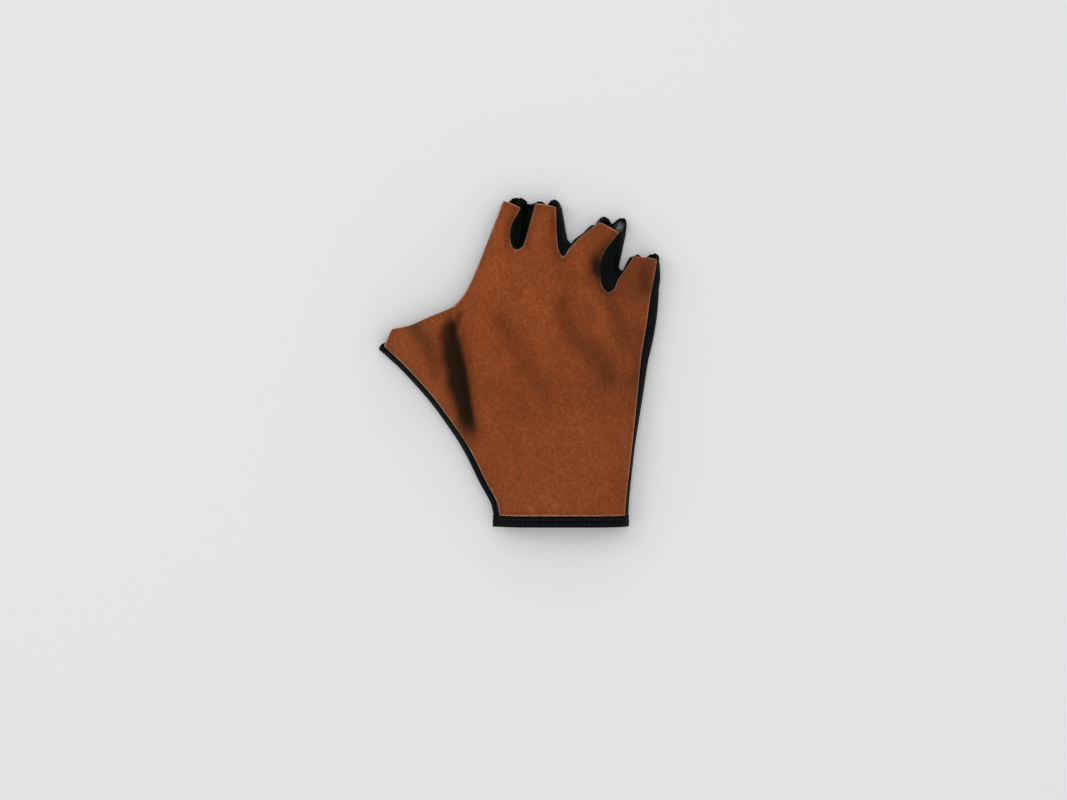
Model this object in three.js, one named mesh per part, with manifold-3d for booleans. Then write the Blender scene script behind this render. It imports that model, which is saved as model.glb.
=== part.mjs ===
// A fingerless sport glove for the left hand, lying on its back with the palm up.
// The palm is one cut piece of tan suede with the finger fronts and the thumb front in it.
// Everything else is black: a stretch fabric back that wraps round both sides of the hand, a
// fourchette between each two fingers, a binding round each mouth, and a cuff. Under the wrist a
// strap with a suede tab closes a slit in the back, which a knitted gusset fills.
// Millimetres. +Y runs from the cuff to the fingers, +Z out of the palm, and the thumb is at -X.
import * as THREE from 'three';
import { mergeVertices } from 'three/addons/utils/BufferGeometryUtils.js';
import Module from 'manifold-3d';

const wasm = await Module();
wasm.setup();

// Walls, and the clearance that sewn pieces keep
const leatherWall = 1.3;
const fabricWall = 1.0;
const bindingWall = 1.8;
const strapWall = 1.8;
const tabWall = 1.2;
const patchWall = 0.8;
const seamGap = 0.3;
const hemGap = 0.7; // between the fabric's end and the binding
const layerGap = 0.6; // between sheets that lie one over the other under the wrist
const seamLap = 1.6; // how far the leather covers the fabric along a seam

// The hand
const gloveLength = 182; // cuff to the longest fingertip
const palmWidth = 98; // leather across the knuckles
const wristWidth = 70; // leather across the wrist
const wristShift = 1.2; // the wrist's middle, off the middle line of the palm
const cuffWidth = 6;
const sideSeamHeight = 10; // where the leather meets the fabric beside the palm
const fingerSeamHeight = 9.8;
const thumbSeamHeight = 8.5;
const palmRise = 8; // from the side seam up to the flat of the palm
const rollWidth = 15; // how far in from a seam the leather goes on rising
const fingerRise = 4.6;
const fingerRoll = 4.8;
const knuckleStart = 0.7; // shares of the glove's length between which the palm turns into fingers
const knuckleEnd = 0.87;
const thumbStart = 0.62; // share of the thumb's reach past which the leather counts as thumb
const sideBulge = 5.2; // the most that the fabric stands out past the leather on the little side
const sideTuck = 3; // how far in from the seam the fabric lands under the glove

// The thumb
const thumbReach = 95.4; // middle line to the middle of the thumb's mouth
const thumbMouthAlong = 105.2; // cuff to the middle of the thumb's mouth
const thumbMouth = 8.9; // leather across the mouth
const thumbTurn = 61.6; // degrees between the mouth's edge and the middle of the body
const thumbFabricReach = 1.2; // fabric past the leather at the mouth

// The fingers, and the crotches between them
const fingerStub = 28; // root to the leather's end
const fingerLeather = 11; // leather across a fingertip
const crotchSize = 6;
const rootDip = 4; // how far the line across a finger's root dips from its crotches towards the wrist
const fabricReach = 2.4; // fabric past the leather at a fingertip
const indexSideReach = 0.8; // the same on the outer side of the index finger
const hemWidth = 3.4;

// The strap, its tab, the loop patch it closes on, and the slit under them
const strapStart = 9; // sewn end, from the wrist's middle towards the little finger
const strapLength = 50;
const strapLow = 6.8; // lower corner of the sewn end, above the cuff's edge
const strapWidth = 32;
const strapLean = 4.5; // how far the round end is carried towards the fingers
const tabInset = 8; // sewn end of the tab, in from the strap's
const tabLength = 37;
const tabLow = 9;
const tabWidth = 25;
const tabEndWidth = 17;
const tabLean = 11;
const patchLength = 22;
const patchMargin = 3; // the strap stands past the loop patch by this
const slitWidth = 15;
const slitStart = 5; // edge on the little finger's side, from the wrist's middle
const slitLength = 59; // cuff edge to the round end
const gussetMargin = 4; // the gusset stands past the slit by this
const liftFall = 15; // over this distance the back comes down from the strap to the surface
const patchFall = 9; // and over this one from the loop patch to the strap

// How fine the surfaces are cut
const fingerColumns = 4;
const fingerRows = 8;
const rootBias = 1.35; // how much closer together the rows lie towards the crotches
const wristRows = 4;
const thumbRows = 13;
const rootRows = 4;
const thumbColumns = 9;
const wallSteps = 5;
const hemRows = 1;
const sharpestLean = 0.72;
const circleBulge = 0.552; // handle of a curve that stands for a quarter circle, per radius

const degrees = THREE.MathUtils.degToRad;
const smooth = THREE.MathUtils.smoothstep;
const lerp = THREE.MathUtils.lerp;
const point = (x, y) => new THREE.Vector2(x, y);
const hand = (across, along) => point(across * palmWidth, along * gloveLength);
const reach = (across, along) => point(-across * thumbReach, along * gloveLength);

// Each finger: how long its stub is as a share of fingerStub, which way it leans from the middle
// line, and how its leather and fabric ends are cut. The widths are shares of fingerLeather: its
// leather at the mouth, how far the fabric stands out beside it, and how far its sides are bowed in.
const fingers = [
  {
    name: 'index', length: 0.96, lean: 14.4, cut: -9, fabricCut: 11,
    width: 0.87, outLeft: 0.04, outRight: 0.26, bowLeft: 0, bowRight: 0.2,
  },
  {
    name: 'middle', length: 0.966, lean: 7.3, cut: -3.6, fabricCut: 9,
    width: 0.96, outLeft: 0.27, outRight: 0.21, bowLeft: 0, bowRight: 0.03,
  },
  {
    name: 'ring', length: 1.05, lean: 26.9, cut: 0, fabricCut: 20,
    width: 1.05, outLeft: 0.09, outRight: 0.28, bowLeft: -0.06, bowRight: 0.38,
  },
  {
    name: 'little', length: 0.78, lean: 23.7, cut: 18, fabricCut: 20,
    width: 1.05, outLeft: 0.11, outRight: 0.25, bowLeft: 0, bowRight: 0,
  },
];

// Each crotch between two fingers, in the leather and in the fabric under it, as shares of the
// palm's width and the glove's length. The shoulders, where its round bottom ends, are measured
// from it as shares of crotchSize, and so is backHalf, half the width of the bottom in the fabric.
const crotches = [
  {
    across: -0.248, along: 0.845, left: [-0.63, 1], right: [0.9, 0.93],
    backAcross: -0.212, backAlong: 0.868, backHalf: 0.15,
  },
  {
    across: 0.0177, along: 0.828, left: [-0.55, 1], right: [0.83, 0.87],
    backAcross: 0.062, backAlong: 0.868, backHalf: 0.37,
  },
  {
    across: 0.2725, along: 0.715, left: [-0.73, 1.42], right: [0.9, 1.07],
    backAcross: 0.355, backAlong: 0.784, backHalf: 0.37,
  },
];
const bottomCorner = point(0.76, 0.32); // where a crotch turns upwards, as shares of its shoulder
const waistAt = 0.42; // share of a finger's side at which it is bowed the most
const indexRoot = hand(-0.428, 0.843);
const littleRoot = hand(0.512, 0.711);

// How far the fabric stands out past the leather along the little side, as shares of sideBulge, by
// how far along the glove it is
const littleSideOut = [
  { along: 0, out: 0.42 },
  { along: 0.25, out: 0.34 },
  { along: 0.42, out: 0.67 },
  { along: 0.58, out: 1 },
  { along: 0.66, out: 1.04 },
  { along: 0.72, out: 0.87 },
  { along: 0.77, out: 0.72 },
  { along: 0.83, out: 0.24 },
];
const thumbSideOut = 3.4;
const indexSideOut = 0.3;

// Ridges and hollows of the leather. Each runs from one place to another, and fades over its own
// width towards the thumb and towards the little finger. Its lift is a share of palmRise, and its
// widths are shares of rollWidth.
const folds = [
  { from: [-0.73, 0.65], to: [-0.585, 0.28], lift: 0.94, toThumb: 1.73, toLittle: 0.67 },
  { from: [-0.61, 0.64], to: [-0.5, 0.29], lift: -0.43, toThumb: 0.53, toLittle: 0.67 },
  { from: [-0.35, 0.66], to: [-0.16, 0.46], lift: -0.19, toThumb: 0.6, toLittle: 0.73 },
  { from: [0.0, 0.7], to: [0.3, 0.43], lift: -0.21, toThumb: 0.6, toLittle: 0.8 },
  { from: [0.25, 0.69], to: [0.42, 0.55], lift: -0.15, toThumb: 0.47, toLittle: 0.53 },
  { from: [-0.16, 0.62], to: [0.02, 0.42], lift: 0.16, toThumb: 0.6, toLittle: 0.6 },
  { from: [-0.3, 0.79], to: [0.12, 0.76], lift: 0.11, toThumb: 0.67, toLittle: 0.67 },
  { from: [0.2, 0.3], to: [0.3, 0.12], lift: 0.15, toThumb: 0.93, toLittle: 0.8 },
];

const cuffTop = cuffWidth + seamGap; // where the palm and the back begin
const wristThumb = point(wristShift - wristWidth / 2, 0);
const wristLittle = point(wristShift + wristWidth / 2, 0);

// The thumb's mouth
const thumbAlongEdge = point(Math.cos(degrees(thumbTurn)), Math.sin(degrees(thumbTurn)));
const thumbOut = point(-thumbAlongEdge.y, thumbAlongEdge.x);
const thumbTip = point(-thumbReach, thumbMouthAlong);
const alongGlove = point(0, 1);
const offset = (p, direction, distance) => p.clone().addScaledVector(direction, distance);
const thumbLow = offset(thumbTip, thumbAlongEdge, -thumbMouth / 2);
const thumbHigh = offset(thumbTip, thumbAlongEdge, thumbMouth / 2);

// A finger's frame: its root's middle, its axis, and the corners of its leather and fabric ends
const crotchAt = crotches.map((c) => hand(c.across, c.along));
const backCrotchAt = crotches.map((c) => hand(c.backAcross, c.backAlong));
const roots = [indexRoot, ...crotchAt, littleRoot];
fingers.forEach((f, i) => {
  const turned = (degreesMore) => degrees(-f.lean + degreesMore);
  f.axis = point(Math.sin(degrees(f.lean)), Math.cos(degrees(f.lean)));
  f.across = point(f.axis.y, -f.axis.x);
  f.root = roots[i].clone().add(roots[i + 1]).multiplyScalar(0.5);
  f.tip = offset(f.root, f.axis, f.length * fingerStub);
  const [half, left, right] = [f.width / 2, f.outLeft, f.outRight].map((share) => share * fingerLeather);
  const end = (middle, cut, toLeft, toRight) => {
    const edge = point(Math.cos(turned(cut)), Math.sin(turned(cut)));
    return [offset(middle, edge, -toLeft), offset(middle, edge, toRight)];
  };
  f.leatherEnd = end(f.tip, f.cut, half, half);
  const fabricTip = offset(f.tip, f.axis, fabricReach);
  f.tuckedEnd = end(fabricTip, f.fabricCut, half - seamLap, half - seamLap);
  f.backEnd = end(fabricTip, f.fabricCut, half + left, half + right);
});
const [index, middle, ring, little] = fingers;

// The three long seams in plan: thumb side, from the cuff to the thumb's mouth; index side, from
// the thumb's mouth to the index finger's; little side, from the cuff to the little finger's mouth.
const spline = (points) => {
  const curve = new THREE.SplineCurve(points);
  curve.arcLengthDivisions = 400;
  return curve;
};
const thumbSide = spline([
  wristThumb,
  offset(wristThumb, alongGlove, 2 * cuffTop),
  hand(-0.417, 0.138),
  reach(0.511, 0.23),
  reach(0.615, 0.313),
  reach(0.721, 0.39),
  reach(0.81, 0.444),
  reach(0.9175, 0.504),
  offset(thumbLow, thumbOut, thumbFabricReach),
]);
const indexSide = spline([
  offset(thumbHigh, thumbOut, thumbFabricReach),
  reach(0.872, 0.614),
  reach(0.774, 0.638),
  hand(-0.646, 0.661),
  hand(-0.588, 0.679),
  hand(-0.53, 0.717),
  hand(-0.471, 0.785),
  indexRoot,
  offset(index.leatherEnd[0], index.axis, indexSideReach),
]);
const littleSide = spline([
  wristLittle,
  offset(wristLittle, alongGlove, 2 * cuffTop),
  hand(0.411, 0.268),
  hand(0.44, 0.415),
  hand(0.457, 0.514),
  hand(0.486, 0.612),
  littleRoot,
  hand(0.534, 0.769),
  offset(little.leatherEnd[1], little.axis, fabricReach),
]);

// The share of a curve's length at which it comes nearest to a place, or leaves the cuff
function shareNear(curve, place) {
  const steps = 600;
  let best = 0;
  let least = Infinity;
  for (let i = 0; i <= steps; i++) {
    const away = curve.getPointAt(i / steps).distanceTo(place);
    if (away < least) {
      least = away;
      best = i / steps;
    }
  }
  return best;
}
function shareAtWrist(curve) {
  let [low, high] = [0, 0.3];
  for (let i = 0; i < 40; i++) {
    const half = (low + high) / 2;
    if (curve.getPointAt(half).y < cuffTop) low = half;
    else high = half;
  }
  return high;
}
const shares = (from, to, pieces) => Array.from({ length: pieces + 1 }, (_, i) => lerp(from, to, i / pieces));
const fingerShares = (to) => shares(0, 1, fingerRows).map((s) => to * s ** rootBias);
const upFinger = (curve, from, to) => fingerShares(1).map((s) => curve.getPointAt(lerp(from, to, s)));
const along = (curve, from, to, pieces) => shares(from, to, pieces).map((s) => curve.getPointAt(s));
const between = (a, b, pieces) => shares(0, 1, pieces).map((s) => a.clone().lerp(b, s));
const joined = (...runs) => runs.flatMap((run, i) => (i ? run.slice(1) : run));
const rootLine = (a, b) => between(a, b, fingerColumns).map((p, i) => {
  return offset(p, alongGlove, -rootDip * Math.sin((Math.PI * i) / fingerColumns));
});

// Where the seams pass the places that the panels are cut at
const forkOfThumb = { low: hand(-0.47, 0.185), high: hand(-0.566, 0.697) };
const thumbSideStart = shareAtWrist(thumbSide);
const thumbSideFork = shareNear(thumbSide, forkOfThumb.low);
const thumbSideMouth = shareNear(thumbSide, thumbLow);
const indexSideMouth = shareNear(indexSide, thumbHigh);
const indexSideFork = shareNear(indexSide, forkOfThumb.high);
const indexSideRoot = shareNear(indexSide, indexRoot);
const indexSideTip = shareNear(indexSide, index.leatherEnd[0]);
const littleSideStart = shareAtWrist(littleSide);
const littleSideRoot = shareNear(littleSide, littleRoot);
const littleSideTip = shareNear(littleSide, little.leatherEnd[1]);

// The seam from a crotch up one side of a finger: round the crotch's bottom, over its shoulder,
// then to the end, bowed a little into the finger
function fingerSeam(bottom, shoulder, end, finger, bow) {
  const top = point(...shoulder).multiplyScalar(crotchSize);
  const corner = top.clone().multiply(bottomCorner).add(bottom);
  top.add(bottom);
  const waist = offset(top.clone().lerp(end, waistAt), finger.across, bow * fingerLeather);
  return spline([bottom, corner, top, waist, end]);
}
crotches.forEach((c, i) => {
  const [before, after] = [fingers[i], fingers[i + 1]];
  const at = crotchAt[i];
  const backAt = backCrotchAt[i];
  const shoulderBack = (side) => [side * c.backHalf, c.backHalf];
  before.rightSeam = fingerSeam(at, c.left, before.leatherEnd[1], before, -before.bowRight);
  after.leftSeam = fingerSeam(at, c.right, after.leatherEnd[0], after, after.bowLeft);
  before.rightTuck = fingerSeam(at, c.left, before.tuckedEnd[1], before, -before.bowRight);
  after.leftTuck = fingerSeam(at, c.right, after.tuckedEnd[0], after, after.bowLeft);
  before.rightFoot = fingerSeam(backAt, shoulderBack(-1), before.backEnd[1], before, 0);
  after.leftFoot = fingerSeam(backAt, shoulderBack(1), after.backEnd[0], after, 0);
});

// Distance from a place in plan to the nearest seam of the leather
const seamRuns = [
  along(thumbSide, 0, thumbSideMouth, 60),
  along(indexSide, indexSideMouth, indexSideTip, 60),
  along(littleSide, 0, littleSideTip, 60),
  ...fingers.slice(0, 3).map((f) => along(f.rightSeam, 0, 1, 24)),
  ...fingers.slice(1).map((f) => along(f.leftSeam, 0, 1, 24)),
];
function seamDistance(p) {
  let least = Infinity;
  for (const run of seamRuns) {
    for (let i = 0; i + 1 < run.length; i++) {
      const step = run[i + 1].clone().sub(run[i]);
      const s = THREE.MathUtils.clamp(p.clone().sub(run[i]).dot(step) / step.lengthSq(), 0, 1);
      least = Math.min(least, p.distanceTo(run[i].clone().addScaledVector(step, s)));
    }
  }
  return least;
}

// One fold's height at a place
function foldHeight(fold, p) {
  const [from, to] = [hand(...fold.from), hand(...fold.to)];
  const run = to.clone().sub(from);
  const length = run.length();
  run.divideScalar(length);
  const rel = p.clone().sub(from);
  const s = rel.dot(run) / length;
  const side = rel.x * -run.y + rel.y * run.x; // positive towards the little finger
  const t = Math.abs(side) / (rollWidth * (side < 0 ? fold.toThumb : fold.toLittle));
  if (t >= 1) return 0;
  const ends = smooth(s, -0.25, 0.1) * (1 - smooth(s, 0.85, 1.3));
  return palmRise * fold.lift * Math.cos((Math.PI / 2) * t) ** 2 * ends;
}

// Height of the middle of the leather at a place in plan
function leatherHeight(p) {
  const y = p.y / gloveLength;
  const onFinger = smooth(y, knuckleStart, knuckleEnd);
  const side = lerp(sideSeamHeight, fingerSeamHeight, onFinger);
  const toThumb = smooth(-p.x / thumbReach, thumbStart, 1);
  const seam = lerp(side, thumbSeamHeight, toThumb);
  const toFinger = Math.max(onFinger, toThumb);
  const t = Math.min(seamDistance(p) / lerp(rollWidth, fingerRoll, toFinger), 1);
  const roll = Math.sin((Math.PI / 2) * t);
  const folded = folds.reduce((sum, fold) => sum + foldHeight(fold, p), 0);
  return seam + lerp(palmRise, fingerRise, toFinger) * roll + folded * smooth(t, 0, 0.9);
}

// The strap and the tab lie flat on the surface, and lift the back of the wrist off it
const strapBottom = tabWall + seamGap;
const strapTop = strapBottom + strapWall;
const wristLift = strapTop + layerGap;
const patchLift = patchWall + seamGap;
const strapX = (fromStart) => wristShift + strapStart - fromStart;
function backHeight(p) {
  const dx = Math.max(strapX(strapLength) - p.x, p.x - strapX(0), 0);
  const dy = Math.max(p.y - (strapLow + strapWidth + strapLean), 0);
  const overStrap = 1 - smooth(Math.hypot(dx, dy), 0, liftFall);
  const patchEdge = strapLength - patchLength;
  const overPatch = 1 - smooth(p.x, strapX(patchEdge), strapX(patchEdge - patchFall));
  return fabricWall / 2 + overStrap * (wristLift + patchLift * overPatch);
}

// A surface is a list of triangles in space, from patches of rows of points
class Surface {
  constructor() {
    this.triangles = [];
  }
  addPatch(rows) {
    for (let j = 0; j + 1 < rows.length; j++) {
      for (let i = 0; i + 1 < rows[j].length; i++) {
        const [a, b, c, d] = [rows[j][i], rows[j][i + 1], rows[j + 1][i + 1], rows[j + 1][i]];
        this.triangles.push([a, b, c], [a, c, d]);
      }
    }
    return this;
  }
}

// The rows of a patch in plan, inside four runs of points that share their ends
function coons(bottom, top, left, right) {
  const columns = bottom.length - 1;
  const rows = left.length - 1;
  return left.map((_, j) =>
    bottom.map((_, i) => {
      const [u, v] = [i / columns, j / rows];
      const p = point(0, 0);
      p.addScaledVector(bottom[i], 1 - v).addScaledVector(top[i], v);
      p.addScaledVector(left[j], 1 - u).addScaledVector(right[j], u);
      p.addScaledVector(bottom[0], -(1 - u) * (1 - v)).addScaledVector(bottom[columns], -u * (1 - v));
      p.addScaledVector(top[0], -(1 - u) * v).addScaledVector(top[columns], -u * v);
      return p;
    }),
  );
}
const raised = (rows, height) => rows.map((row) => row.map((p) => new THREE.Vector3(p.x, p.y, height(p))));

// Gives a surface its wall, closes it round the edge, and keeps it above what it lies on
function thicken(surface, wall) {
  const loose = new THREE.BufferGeometry().setFromPoints(surface.triangles.flat());
  const sheet = mergeVertices(loose, 1e-3);
  const at = sheet.getAttribute('position');
  const count = at.count;
  const corner = (i) => new THREE.Vector3().fromBufferAttribute(at, i);
  const faces = [];
  for (let i = 0; i < sheet.index.count; i += 3) {
    const face = [0, 1, 2].map((k) => sheet.index.getX(i + k));
    if (new Set(face).size === 3) faces.push(face);
  }
  const normals = Array.from({ length: count }, () => new THREE.Vector3());
  const faceNormals = faces.map(([a, b, c]) => {
    const n = corner(b).sub(corner(a)).cross(corner(c).sub(corner(a)));
    [a, b, c].forEach((v) => normals[v].add(n));
    return n.clone().normalize();
  });
  normals.forEach((n) => n.normalize());
  const lean = new Array(count).fill(1);
  faces.forEach((face, f) => {
    face.forEach((v) => {
      lean[v] = Math.min(lean[v], Math.max(normals[v].dot(faceNormals[f]), sharpestLean));
    });
  });
  const vertices = [];
  for (const side of [1, -1]) {
    for (let v = 0; v < count; v++) {
      const skin = corner(v).addScaledVector(normals[v], (side * wall) / 2 / lean[v]);
      vertices.push(skin.x, skin.y, Math.max(skin.z, 0));
    }
  }
  const edges = new Map();
  const triangles = [];
  for (const [a, b, c] of faces) {
    triangles.push(a, b, c, a + count, c + count, b + count);
    for (const [p, q] of [[a, b], [b, c], [c, a]]) {
      if (!edges.delete(q + ' ' + p)) edges.set(p + ' ' + q, [p, q]);
    }
  }
  for (const [p, q] of edges.values()) triangles.push(q, p, p + count, q, p + count, q + count);
  const solid = new THREE.BufferGeometry();
  solid.setAttribute('position', new THREE.Float32BufferAttribute(vertices, 3));
  solid.setIndex(triangles);
  return facingOut(solid);
}

// Turns a closed geometry's faces round if they point inwards
function facingOut(geometry) {
  const at = geometry.getAttribute('position');
  const order = geometry.index.array;
  const corner = (i) => new THREE.Vector3().fromBufferAttribute(at, order[i]);
  let volume = 0;
  for (let i = 0; i < order.length; i += 3) volume += corner(i).dot(corner(i + 1).cross(corner(i + 2)));
  if (volume > 0) return geometry;
  for (let i = 0; i < order.length; i += 3) [order[i], order[i + 1]] = [order[i + 1], order[i]];
  return geometry;
}

// Booleans of closed geometries
function solidOf(geometry) {
  const bare = new THREE.BufferGeometry().setAttribute('position', geometry.getAttribute('position'));
  if (geometry.index) bare.setIndex(geometry.index);
  const merged = mergeVertices(bare, 1e-4);
  const vertProperties = merged.getAttribute('position').array;
  const triVerts = new Uint32Array(merged.index.array);
  return new wasm.Manifold(new wasm.Mesh({ numProp: 3, vertProperties, triVerts }));
}
function geometryOf(solid) {
  const mesh = solid.getMesh();
  const geometry = new THREE.BufferGeometry();
  geometry.setAttribute('position', new THREE.BufferAttribute(new Float32Array(mesh.vertProperties), 3));
  geometry.setIndex(new THREE.BufferAttribute(new Uint32Array(mesh.triVerts), 1));
  return geometry;
}
function prism(shape, low, high) {
  const plain = { depth: high - low, bevelEnabled: false, curveSegments: 10 };
  return new THREE.ExtrudeGeometry(shape, plain).translate(0, 0, low);
}
const cutAway = (geometry, tool) => geometryOf(solidOf(geometry).subtract(solidOf(tool)));
const keptWithin = (geometry, tool) => geometryOf(solidOf(geometry).intersect(solidOf(tool)));

// The palm: hand, finger fronts and thumb front
function palmPanel() {
  const surface = new Surface();
  const wristRun = along(thumbSide, thumbSideStart, thumbSideFork, wristRows);
  const rootRun = along(indexSide, indexSideFork, indexSideRoot, rootRows);
  const forkLow = wristRun[wristRows];
  const forkHigh = rootRun[0];
  const left = joined(wristRun, between(forkLow, forkHigh, thumbRows), rootRun);
  const right = along(littleSide, littleSideStart, littleSideRoot, left.length - 1);
  const top = joined(...roots.slice(1).map((p, i) => rootLine(roots[i], p)));
  const bottom = between(left[0], right[0], 4 * fingerColumns);
  top[0] = left[left.length - 1];
  top[top.length - 1] = right[right.length - 1];
  surface.addPatch(raised(coons(bottom, top, left, right), leatherHeight));
  fingers.forEach((f, i) => {
    const foot = top.slice(i * fingerColumns, (i + 1) * fingerColumns + 1);
    const leftRun = f === index
      ? upFinger(indexSide, indexSideRoot, indexSideTip)
      : upFinger(f.leftSeam, 0, 1);
    const rightRun = f === little
      ? upFinger(littleSide, littleSideRoot, littleSideTip)
      : upFinger(f.rightSeam, 0, 1);
    const end = between(leftRun[fingerRows], rightRun[fingerRows], fingerColumns);
    surface.addPatch(raised(coons(foot, end, leftRun, rightRun), leatherHeight));
  });
  const low = along(thumbSide, thumbSideFork, thumbSideMouth, thumbColumns);
  const high = along(indexSide, indexSideFork, indexSideMouth, thumbColumns);
  const mouth = between(low[thumbColumns], high[thumbColumns], thumbRows);
  surface.addPatch(raised(coons(between(forkLow, forkHigh, thumbRows), mouth, low, high), leatherHeight));
  return thicken(surface, leatherWall);
}

// How far the fabric stands out at a share of a side seam
function sideOut(curve, share) {
  if (curve === thumbSide) return thumbSideOut;
  if (curve === indexSide) return indexSideOut;
  const y = curve.getPointAt(share).y / gloveLength;
  const rows = littleSideOut;
  const next = Math.max(1, rows.findIndex((row) => row.along >= y));
  const [a, b] = y > rows[rows.length - 1].along ? rows.slice(-2) : [rows[next - 1], rows[next]];
  return sideBulge * lerp(a.out, b.out, THREE.MathUtils.clamp((y - a.along) / (b.along - a.along), 0, 1));
}

// The fabric's wall beside a long seam, at a share of it: out from under the leather, round the
// side, and in under the glove. Points run from the leather down to the foot.
const seamSlack = 0.25;
const seamDrop = leatherWall / 2 + fabricWall / 2 + seamGap + seamSlack;
function sideWall(curve, share) {
  const p = curve.getPointAt(share);
  const tangent = curve.getTangentAt(share);
  const outward = curve === littleSide ? point(tangent.y, -tangent.x) : point(-tangent.y, tangent.x);
  const out = sideOut(curve, share);
  const foot = offset(p, outward, -sideTuck);
  const low = backHeight(foot);
  const topAngle = Math.acos((sideTuck - seamLap) / (sideTuck + out));
  const half = (leatherHeight(p) - seamDrop - low) / (1 + Math.sin(topAngle));
  return shares(topAngle, -Math.PI / 2, wallSteps + 1).map((angle) => {
    const at = offset(foot, outward, (sideTuck + out) * Math.cos(angle));
    return new THREE.Vector3(at.x, at.y, low + half * (1 + Math.sin(angle)));
  });
}

// The fabric's wall beside a finger that has a neighbour there: out from under the leather, then
// straight down to the edge of the back
const wallShoulder = 0.95;
const wallWaist = 0.45;
function fingerWall(seam, tuck, foot, finger, inward, share, standing) {
  const from = offset(tuck.getPointAt(share), finger.across, inward * seamLap * (1 - share));
  const to = foot.getPointAt(share);
  const seamPoint = seam.getPointAt(share);
  const high = leatherHeight(seamPoint) - seamDrop;
  const low = backHeight(to) + standing;
  const waist = point(1, lerp(low, high, wallWaist));
  const outline = new THREE.CubicBezierCurve(point(0, high), point(wallShoulder, high), waist, point(1, low));
  return shares(0, 1, wallSteps).map((t) => {
    const q = outline.getPoint(t);
    const at = from.clone().lerp(to, q.x);
    return new THREE.Vector3(at.x, at.y, q.y);
  });
}
const standOnBack = fabricWall / 2 + seamGap + seamSlack;
const leftWall = (f, share, standing = 0) => f === index
  ? sideWall(indexSide, lerp(indexSideRoot, 1, share))
  : fingerWall(f.leftSeam, f.leftTuck, f.leftFoot, f, 1, share, standing);
const rightWall = (f, share, standing = 0) => f === little
  ? sideWall(littleSide, lerp(littleSideRoot, 1, share))
  : fingerWall(f.rightSeam, f.rightTuck, f.rightFoot, f, -1, share, standing);

// Shares of a finger at which the fabric ends and its binding begins
const fingerSpan = (f) => f.tip.distanceTo(f.root) + fabricReach;
const hemStart = (f) => 1 - hemWidth / fingerSpan(f);
const fabricEnd = (f) => 1 - (hemWidth + hemGap) / fingerSpan(f);
const last = (list) => list[list.length - 1];
const flat = (p) => point(p.x, p.y);
const floor = (rows) => raised(rows, backHeight);

// Shares of the thumb's two seams at which the fabric ends and the binding begins
const thumbShare = (curve, fromMouth) => {
  const share = fromMouth / curve.getLength();
  return curve === thumbSide ? 1 - share : share;
};

// The back: the sheet that lies under the hand, fingers and thumb, and its two wrapped sides
function backPanel() {
  const surface = new Surface();
  const wallOf = (curve, from, to, pieces) => shares(from, to, pieces).map((s) => sideWall(curve, s));
  const footOf = (...run) => wallOf(...run).map((wall) => flat(last(wall)));
  const fingerWallOf = (curve, from, to) => fingerShares(1).map((s) => sideWall(curve, lerp(from, to, s)));
  const thumbFabricEnd = hemWidth + hemGap;
  const lowEnd = thumbShare(thumbSide, thumbFabricEnd);
  const highEnd = thumbShare(indexSide, thumbFabricEnd);
  const wristRun = footOf(thumbSide, thumbSideStart, thumbSideFork, wristRows);
  const rootRun = footOf(indexSide, indexSideFork, indexSideRoot, rootRows);
  const forkLow = wristRun[wristRows];
  const forkHigh = rootRun[0];
  const left = joined(wristRun, between(forkLow, forkHigh, thumbRows), rootRun);
  const right = footOf(littleSide, littleSideStart, littleSideRoot, left.length - 1);
  const stops = [last(left), ...backCrotchAt, last(right)];
  const top = joined(...stops.slice(1).map((p, i) => rootLine(stops[i], p)));
  const bottom = between(left[0], right[0], 4 * fingerColumns);
  surface.addPatch(floor(coons(bottom, top, left, right)));
  fingers.forEach((f, i) => {
    const foot = top.slice(i * fingerColumns, (i + 1) * fingerColumns + 1);
    const rows = fingerShares(fabricEnd(f));
    const leftRun = rows.map((s) => flat(last(leftWall(f, s))));
    const rightRun = rows.map((s) => flat(last(rightWall(f, s))));
    const end = between(leftRun[fingerRows], rightRun[fingerRows], fingerColumns);
    surface.addPatch(floor(coons(foot, end, leftRun, rightRun)));
  });
  const low = footOf(thumbSide, thumbSideFork, lowEnd, thumbColumns);
  const high = footOf(indexSide, indexSideFork, highEnd, thumbColumns);
  const mouth = between(last(low), last(high), thumbRows);
  surface.addPatch(floor(coons(between(forkLow, forkHigh, thumbRows), mouth, low, high)));
  const littleEnd = lerp(littleSideRoot, 1, fabricEnd(little));
  const indexEnd = lerp(indexSideRoot, 1, fabricEnd(index));
  surface.addPatch(wallOf(thumbSide, thumbSideStart, thumbSideFork, wristRows));
  surface.addPatch(wallOf(thumbSide, thumbSideFork, lowEnd, thumbColumns));
  surface.addPatch(wallOf(indexSide, highEnd, indexSideFork, thumbColumns));
  surface.addPatch(wallOf(indexSide, indexSideFork, indexSideRoot, rootRows));
  surface.addPatch(fingerWallOf(indexSide, indexSideRoot, indexEnd));
  surface.addPatch(wallOf(littleSide, littleSideRoot, littleSideStart, left.length - 1));
  surface.addPatch(fingerWallOf(littleSide, littleSideRoot, littleEnd).reverse());
  return surface;
}

// A fourchette: down the right side of one finger, round the crotch, and up the left side of the next
function fourchette(before, after) {
  const down = fingerShares(fabricEnd(before)).reverse().map((s) => rightWall(before, s, standOnBack));
  const up = fingerShares(fabricEnd(after)).map((s) => leftWall(after, s, standOnBack));
  return thicken(new Surface().addPatch(joined(down, up)), fabricWall);
}

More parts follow.
